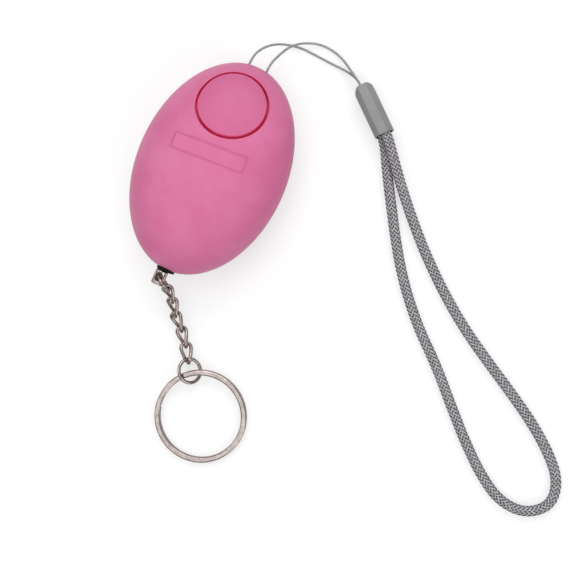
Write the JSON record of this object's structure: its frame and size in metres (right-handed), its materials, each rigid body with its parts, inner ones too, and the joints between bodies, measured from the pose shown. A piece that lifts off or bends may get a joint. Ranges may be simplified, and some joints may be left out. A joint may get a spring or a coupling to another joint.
{
  "type": "personal safety alarm",
  "caption": "Egg-shaped personal safety alarm with a round push button, a pull pin on a chain with a split key ring, and a braided wrist strap on a clamped cord.",
  "frame": {"origin": "middle of the flat at the back of the egg, on which it lies", "axes": "+Y along the egg to its strap end, +X across it, +Z out of the face with the button"},
  "size_m": [0.1489, 0.1255, 0.0251],
  "materials": {
    "shell_pink": "satin moulded",
    "black_plastic": "moulded",
    "nickel_plate": "nickel plated",
    "insulating_plastic": "moulded",
    "steel": "plain",
    "cell_steel": "bright",
    "brass": "plain",
    "ceramic": "fired",
    "foam": "open cell",
    "board_green": "solder mask",
    "plunger_plastic": "moulded",
    "ferrite": "sintered",
    "copper": "enamelled wire",
    "component_black": "moulded",
    "capacitor_can": "drawn",
    "wire_insulation": "extruded",
    "strap_cord_grey": "twisted",
    "clamp_grey": "moulded",
    "braid_grey": "braided"
  },
  "bodies": {
    "egg": {"front_shell": "shell_pink", "rear_shell": "shell_pink", "circuit_board": "board_green", "case_screws": "steel", "board_screws": "steel", "switch_body": "black_plastic", "switch_cover": "steel", "sounder_gasket": "foam", "sounder_disc": "brass", "sounder_ceramic": "ceramic", "cell_tray": "black_plastic", "cell_contact_positive": "steel", "cell_contact_negative": "steel", "cell_pad": "foam", "cell_lead_positive": "wire_insulation", "cell_lead_negative": "wire_insulation", "sounder_lead_disc": "wire_insulation", "sounder_lead_ceramic": "wire_insulation", "button_cell_1": "cell_steel", "button_cell_2": "cell_steel", "button_cell_3": "cell_steel", "pin_socket": "black_plastic", "contact_block": "black_plastic", "pin_contact_left": "brass", "pin_contact_right": "brass", "booster_coil_core": "ferrite", "booster_coil_winding": "copper", "control_chip": "component_black", "transistor": "component_black", "resistors": "component_black", "capacitor": "capacitor_can", "strap_bight": "strap_cord_grey", "strap_cord_left": "strap_cord_grey", "strap_cord_right": "strap_cord_grey", "strap_clamp": "clamp_grey", "wrist_loop": "braid_grey"},
    "pin": {"pull_pin": "nickel_plate", "pin_insulating_tip": "insulating_plastic"},
    "button": {"push_button": "shell_pink"},
    "plunger": {"switch_plunger": "plunger_plastic"},
    "link_1": {"chain_link_1": "nickel_plate"},
    "link_2": {"chain_link_2": "nickel_plate"},
    "link_3": {"chain_link_3": "nickel_plate"},
    "link_4": {"chain_link_4": "nickel_plate"},
    "link_5": {"chain_link_5": "nickel_plate"},
    "link_6": {"chain_link_6": "nickel_plate"},
    "small_ring": {"small_ring": "nickel_plate"},
    "key_ring": {"key_ring": "nickel_plate"}
  },
  "joints": [
    {"name": "pin_pull", "type": "slide", "parent": "egg", "child": "pin", "axis": [0, -1, 0], "range_m": [0, 0.018]},
    {"name": "button_press", "type": "slide", "parent": "egg", "child": "button", "axis": [0, -0.3746, -0.9272], "range_m": [0, 0.0005], "stiffness_N_per_m": 3000},
    {"name": "plunger_press", "type": "slide", "parent": "egg", "child": "plunger", "axis": [0, 0, -1], "range_m": [0, 0.0005]},
    {"name": "link_1_swing", "type": "hinge", "parent": "pin", "child": "link_1", "pos_m": [-0.0007, -0.034, 0.0105], "axis": [0, 0, 1], "range_deg": [-10, 40]},
    {"name": "link_2_swing", "type": "hinge", "parent": "link_1", "child": "link_2", "pos_m": [0.00183, -0.03576, 0.00896], "axis": [0.7948, 0.6067, 0.0134], "range_deg": [-20, 40]},
    {"name": "link_3_swing", "type": "hinge", "parent": "link_2", "child": "link_3", "pos_m": [0.00461, -0.03932, 0.00516], "axis": [0.3819, -0.5172, 0.7659], "range_deg": [-40, 25]},
    {"name": "link_4_swing", "type": "hinge", "parent": "link_3", "child": "link_4", "pos_m": [0.0061, -0.04215, 0.00353], "axis": [0.7165, 0.6974, -0.017], "range_deg": [-25, 40]},
    {"name": "link_5_swing", "type": "hinge", "parent": "link_4", "child": "link_5", "pos_m": [0.01009, -0.04629, 0.00221], "axis": [0.1688, -0.1497, 0.9742], "range_deg": [-40, 30]},
    {"name": "link_6_swing", "type": "hinge", "parent": "link_5", "child": "link_6", "pos_m": [0.01244, -0.04897, 0.00218], "axis": [0.7719, 0.527, -0.3557], "range_deg": [-40, 40]},
    {"name": "small_ring_swing", "type": "hinge", "parent": "link_6", "child": "small_ring", "pos_m": [0.01596, -0.05365, 0.0029], "axis": [0.2177, 0.3065, 0.9266], "range_deg": [-25, 25]},
    {"name": "key_ring_swing", "type": "hinge", "parent": "small_ring", "child": "key_ring", "pos_m": [0.01768, -0.05624, 0.00283], "axis": [0.788, 0.6157, 0], "range_deg": [-25, 20]}
  ],
  "couplings": [
    {"joint": "plunger_press", "follows": "button_press", "ratio": 0.92718}
  ]
}
